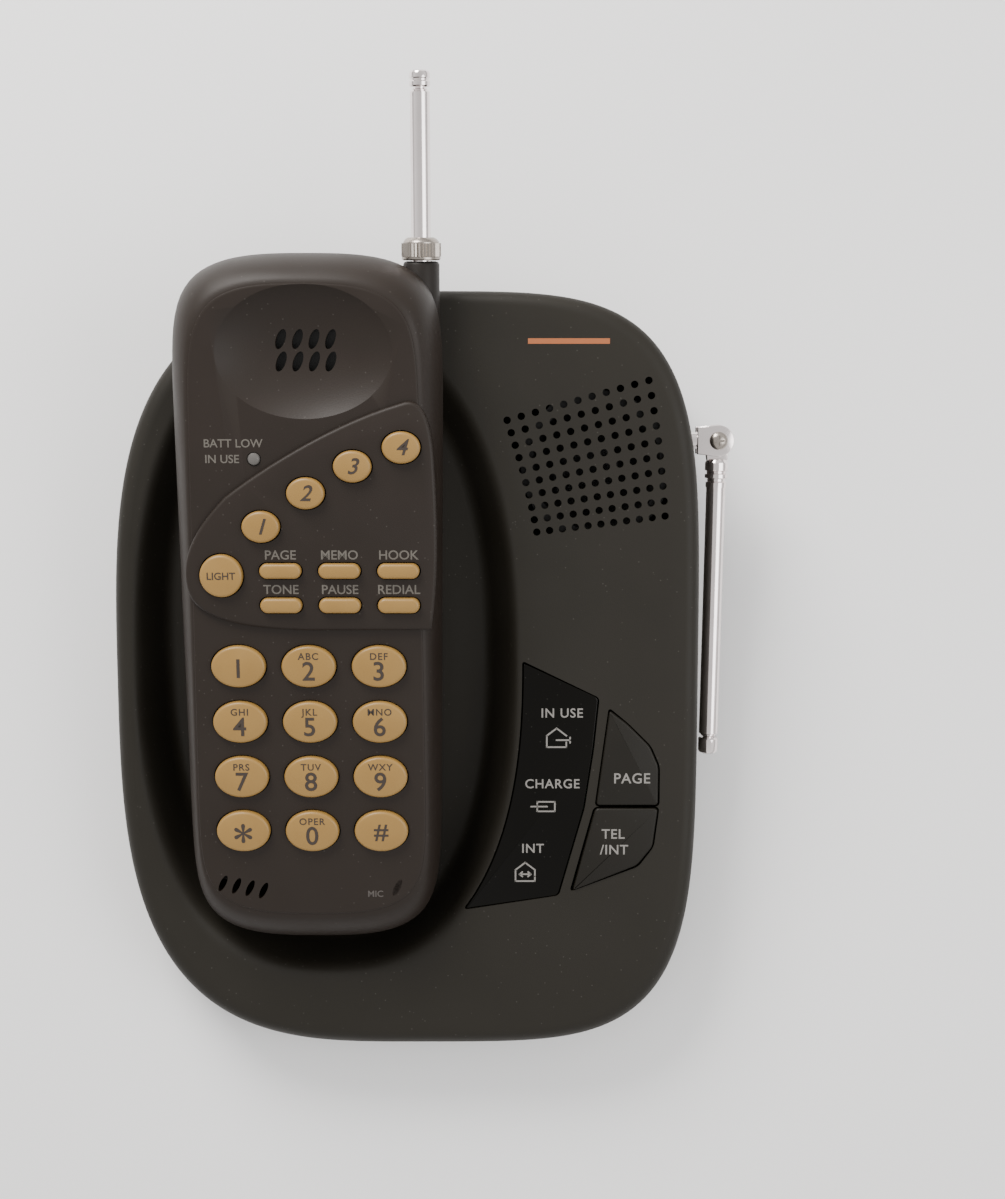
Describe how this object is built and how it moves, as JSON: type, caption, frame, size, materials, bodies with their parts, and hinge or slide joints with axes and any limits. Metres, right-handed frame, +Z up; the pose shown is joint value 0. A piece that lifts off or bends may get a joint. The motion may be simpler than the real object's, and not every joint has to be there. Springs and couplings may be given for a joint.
{
  "type": "cordless phone with base",
  "caption": "Cordless phone: a handset with a telescopic aerial lies in the cradle of a wedge-shaped base with a loudspeaker, two keys and a folding aerial.",
  "frame": {"origin": "on the table under the middle of the whole object's box", "axes": "+Z up; +Y towards the back of the base and the handset's ear end; +X towards the base's loudspeaker side"},
  "size_m": [0.1656, 0.2535, 0.0731],
  "materials": {
    "base_plastic": "fine satin texture",
    "handset_plastic": "fine satin texture",
    "foot_rubber": "matte",
    "board_laminate": "semi-matte",
    "black_plastic": "satin",
    "grey_plastic": "satin",
    "plain_steel": "bright zinc",
    "bright_chrome": "mirror",
    "contact_brass": "bright",
    "smoked_plastic": "gloss",
    "cell_sleeve": "gloss",
    "mat_rubber": "matte",
    "key_plastic": "satin"
  },
  "bodies": {
    "base": {"base_top_cover": "base_plastic", "base_bottom_cover": "base_plastic", "base_screw_left": "plain_steel", "base_screw_right": "plain_steel", "foot_front_left": "foot_rubber", "foot_front_right": "foot_rubber", "foot_rear_left": "foot_rubber", "foot_rear_right": "foot_rubber", "base_circuit_board": "board_laminate", "base_loudspeaker": "black_plastic", "status_window": "smoked_plastic", "charge_spring_left": "contact_brass", "charge_spring_right": "contact_brass", "line_socket": "black_plastic", "power_inlet": "black_plastic"},
    "handset": {"handset_front_cover": "handset_plastic", "handset_rear_cover": "handset_plastic", "handset_contact_left": "contact_brass", "handset_contact_right": "contact_brass", "battery_pack": "cell_sleeve", "keypad_mat": "mat_rubber", "handset_circuit_board": "board_laminate", "ear_speaker": "grey_plastic", "microphone": "grey_plastic", "handset_lamp": "grey_plastic", "aerial_collar": "plain_steel"},
    "battery_door": {"battery_door": "handset_plastic"},
    "handset_aerial_outer": {"handset_aerial_outer": "bright_chrome"},
    "handset_aerial_middle": {"handset_aerial_middle": "bright_chrome"},
    "handset_aerial_inner": {"handset_aerial_inner": "bright_chrome"},
    "aerial_bracket": {"aerial_bracket": "bright_chrome", "aerial_pivot_screw": "plain_steel"},
    "base_aerial_outer": {"base_aerial_outer": "bright_chrome"},
    "base_aerial_middle": {"base_aerial_middle": "bright_chrome"},
    "base_aerial_inner": {"base_aerial_inner": "bright_chrome"},
    "page_key": {"page_key": "base_plastic"},
    "intercom_key": {"intercom_key": "base_plastic"},
    "key_1": {"key_1": "key_plastic"},
    "key_2": {"key_2": "key_plastic"},
    "key_3": {"key_3": "key_plastic"},
    "key_4": {"key_4": "key_plastic"},
    "key_5": {"key_5": "key_plastic"},
    "key_6": {"key_6": "key_plastic"},
    "key_7": {"key_7": "key_plastic"},
    "key_8": {"key_8": "key_plastic"},
    "key_9": {"key_9": "key_plastic"},
    "key_star": {"key_star": "key_plastic"},
    "key_0": {"key_0": "key_plastic"},
    "key_hash": {"key_hash": "key_plastic"},
    "key_memory_1": {"key_memory_1": "key_plastic"},
    "key_memory_2": {"key_memory_2": "key_plastic"},
    "key_memory_3": {"key_memory_3": "key_plastic"},
    "key_memory_4": {"key_memory_4": "key_plastic"},
    "key_light": {"key_light": "key_plastic"},
    "key_page": {"key_page": "key_plastic"},
    "key_memo": {"key_memo": "key_plastic"},
    "key_hook": {"key_hook": "key_plastic"},
    "key_tone": {"key_tone": "key_plastic"},
    "key_pause": {"key_pause": "key_plastic"},
    "key_redial": {"key_redial": "key_plastic"}
  },
  "joints": [
    {"name": "handset_lift", "type": "slide", "parent": "base", "child": "handset", "axis": [0, -0.2079, 0.9781], "range_m": [0, 0.06]},
    {"name": "handset_aerial_push", "type": "slide", "parent": "handset", "child": "handset_aerial_outer", "axis": [0, 0.9781, 0.2079], "range_m": [-0.034, 0]},
    {"name": "handset_aerial_middle_pull", "type": "slide", "parent": "handset_aerial_outer", "child": "handset_aerial_middle", "axis": [0, 0.9781, 0.2079], "range_m": [0, 0.036]},
    {"name": "handset_aerial_inner_pull", "type": "slide", "parent": "handset_aerial_middle", "child": "handset_aerial_inner", "axis": [0, 0.9781, 0.2079], "range_m": [0, 0.036]},
    {"name": "battery_door_slide", "type": "slide", "parent": "handset", "child": "battery_door", "axis": [0, -0.9781, -0.2079], "range_m": [0, 0.004]},
    {"name": "base_aerial_raise", "type": "hinge", "parent": "base", "child": "aerial_bracket", "pos_m": [0.0786, 0.03807, 0.02708], "axis": [-1, 0, 0], "range_deg": [0, 100]},
    {"name": "base_aerial_swing", "type": "hinge", "parent": "aerial_bracket", "child": "base_aerial_outer", "pos_m": [0.0786, 0.03807, 0.02708], "axis": [0, -0.1268, 0.9919], "range_deg": [0, 91]},
    {"name": "base_aerial_middle_pull", "type": "slide", "parent": "base_aerial_outer", "child": "base_aerial_middle", "axis": [-0.0157, -0.9918, -0.1268], "range_m": [0, 0.046]},
    {"name": "base_aerial_inner_pull", "type": "slide", "parent": "base_aerial_middle", "child": "base_aerial_inner", "axis": [-0.0157, -0.9918, -0.1268], "range_m": [0, 0.046]},
    {"name": "page_press", "type": "slide", "parent": "base", "child": "page_key", "axis": [0, 0.1268, -0.9919], "range_m": [0, 0.0011], "stiffness_N_per_m": 400, "springref_m": -0.001},
    {"name": "intercom_press", "type": "slide", "parent": "base", "child": "intercom_key", "axis": [0, 0.1268, -0.9919], "range_m": [0, 0.0011], "stiffness_N_per_m": 400, "springref_m": -0.001},
    {"name": "key_1_press", "type": "slide", "parent": "handset", "child": "key_1", "axis": [0, 0.2079, -0.9781], "range_m": [0, 0.0011], "stiffness_N_per_m": 300, "springref_m": -0.001},
    {"name": "key_2_press", "type": "slide", "parent": "handset", "child": "key_2", "axis": [0, 0.2079, -0.9781], "range_m": [0, 0.0011], "stiffness_N_per_m": 300, "springref_m": -0.001},
    {"name": "key_3_press", "type": "slide", "parent": "handset", "child": "key_3", "axis": [0, 0.2079, -0.9781], "range_m": [0, 0.0011], "stiffness_N_per_m": 300, "springref_m": -0.001},
    {"name": "key_4_press", "type": "slide", "parent": "handset", "child": "key_4", "axis": [0, 0.2079, -0.9781], "range_m": [0, 0.0011], "stiffness_N_per_m": 300, "springref_m": -0.001},
    {"name": "key_5_press", "type": "slide", "parent": "handset", "child": "key_5", "axis": [0, 0.2079, -0.9781], "range_m": [0, 0.0011], "stiffness_N_per_m": 300, "springref_m": -0.001},
    {"name": "key_6_press", "type": "slide", "parent": "handset", "child": "key_6", "axis": [0, 0.2079, -0.9781], "range_m": [0, 0.0011], "stiffness_N_per_m": 300, "springref_m": -0.001},
    {"name": "key_7_press", "type": "slide", "parent": "handset", "child": "key_7", "axis": [0, 0.2079, -0.9781], "range_m": [0, 0.0011], "stiffness_N_per_m": 300, "springref_m": -0.001},
    {"name": "key_8_press", "type": "slide", "parent": "handset", "child": "key_8", "axis": [0, 0.2079, -0.9781], "range_m": [0, 0.0011], "stiffness_N_per_m": 300, "springref_m": -0.001},
    {"name": "key_9_press", "type": "slide", "parent": "handset", "child": "key_9", "axis": [0, 0.2079, -0.9781], "range_m": [0, 0.0011], "stiffness_N_per_m": 300, "springref_m": -0.001},
    {"name": "key_star_press", "type": "slide", "parent": "handset", "child": "key_star", "axis": [0, 0.2079, -0.9781], "range_m": [0, 0.0011], "stiffness_N_per_m": 300, "springref_m": -0.001},
    {"name": "key_0_press", "type": "slide", "parent": "handset", "child": "key_0", "axis": [0, 0.2079, -0.9781], "range_m": [0, 0.0011], "stiffness_N_per_m": 300, "springref_m": -0.001},
    {"name": "key_hash_press", "type": "slide", "parent": "handset", "child": "key_hash", "axis": [0, 0.2079, -0.9781], "range_m": [0, 0.0011], "stiffness_N_per_m": 300, "springref_m": -0.001},
    {"name": "key_memory_1_press", "type": "slide", "parent": "handset", "child": "key_memory_1", "axis": [0, 0.2079, -0.9781], "range_m": [0, 0.0011], "stiffness_N_per_m": 300, "springref_m": -0.001},
    {"name": "key_memory_2_press", "type": "slide", "parent": "handset", "child": "key_memory_2", "axis": [0, 0.2079, -0.9781], "range_m": [0, 0.0011], "stiffness_N_per_m": 300, "springref_m": -0.001},
    {"name": "key_memory_3_press", "type": "slide", "parent": "handset", "child": "key_memory_3", "axis": [0, 0.2079, -0.9781], "range_m": [0, 0.0011], "stiffness_N_per_m": 300, "springref_m": -0.001},
    {"name": "key_memory_4_press", "type": "slide", "parent": "handset", "child": "key_memory_4", "axis": [0, 0.2079, -0.9781], "range_m": [0, 0.0011], "stiffness_N_per_m": 300, "springref_m": -0.001},
    {"name": "key_light_press", "type": "slide", "parent": "handset", "child": "key_light", "axis": [0, 0.2079, -0.9781], "range_m": [0, 0.0011], "stiffness_N_per_m": 300, "springref_m": -0.001},
    {"name": "key_page_press", "type": "slide", "parent": "handset", "child": "key_page", "axis": [0, 0.2079, -0.9781], "range_m": [0, 0.0011], "stiffness_N_per_m": 300, "springref_m": -0.001},
    {"name": "key_memo_press", "type": "slide", "parent": "handset", "child": "key_memo", "axis": [0, 0.2079, -0.9781], "range_m": [0, 0.0011], "stiffness_N_per_m": 300, "springref_m": -0.001},
    {"name": "key_hook_press", "type": "slide", "parent": "handset", "child": "key_hook", "axis": [0, 0.2079, -0.9781], "range_m": [0, 0.0011], "stiffness_N_per_m": 300, "springref_m": -0.001},
    {"name": "key_tone_press", "type": "slide", "parent": "handset", "child": "key_tone", "axis": [0, 0.2079, -0.9781], "range_m": [0, 0.0011], "stiffness_N_per_m": 300, "springref_m": -0.001},
    {"name": "key_pause_press", "type": "slide", "parent": "handset", "child": "key_pause", "axis": [0, 0.2079, -0.9781], "range_m": [0, 0.0011], "stiffness_N_per_m": 300, "springref_m": -0.001},
    {"name": "key_redial_press", "type": "slide", "parent": "handset", "child": "key_redial", "axis": [0, 0.2079, -0.9781], "range_m": [0, 0.0011], "stiffness_N_per_m": 300, "springref_m": -0.001}
  ]
}
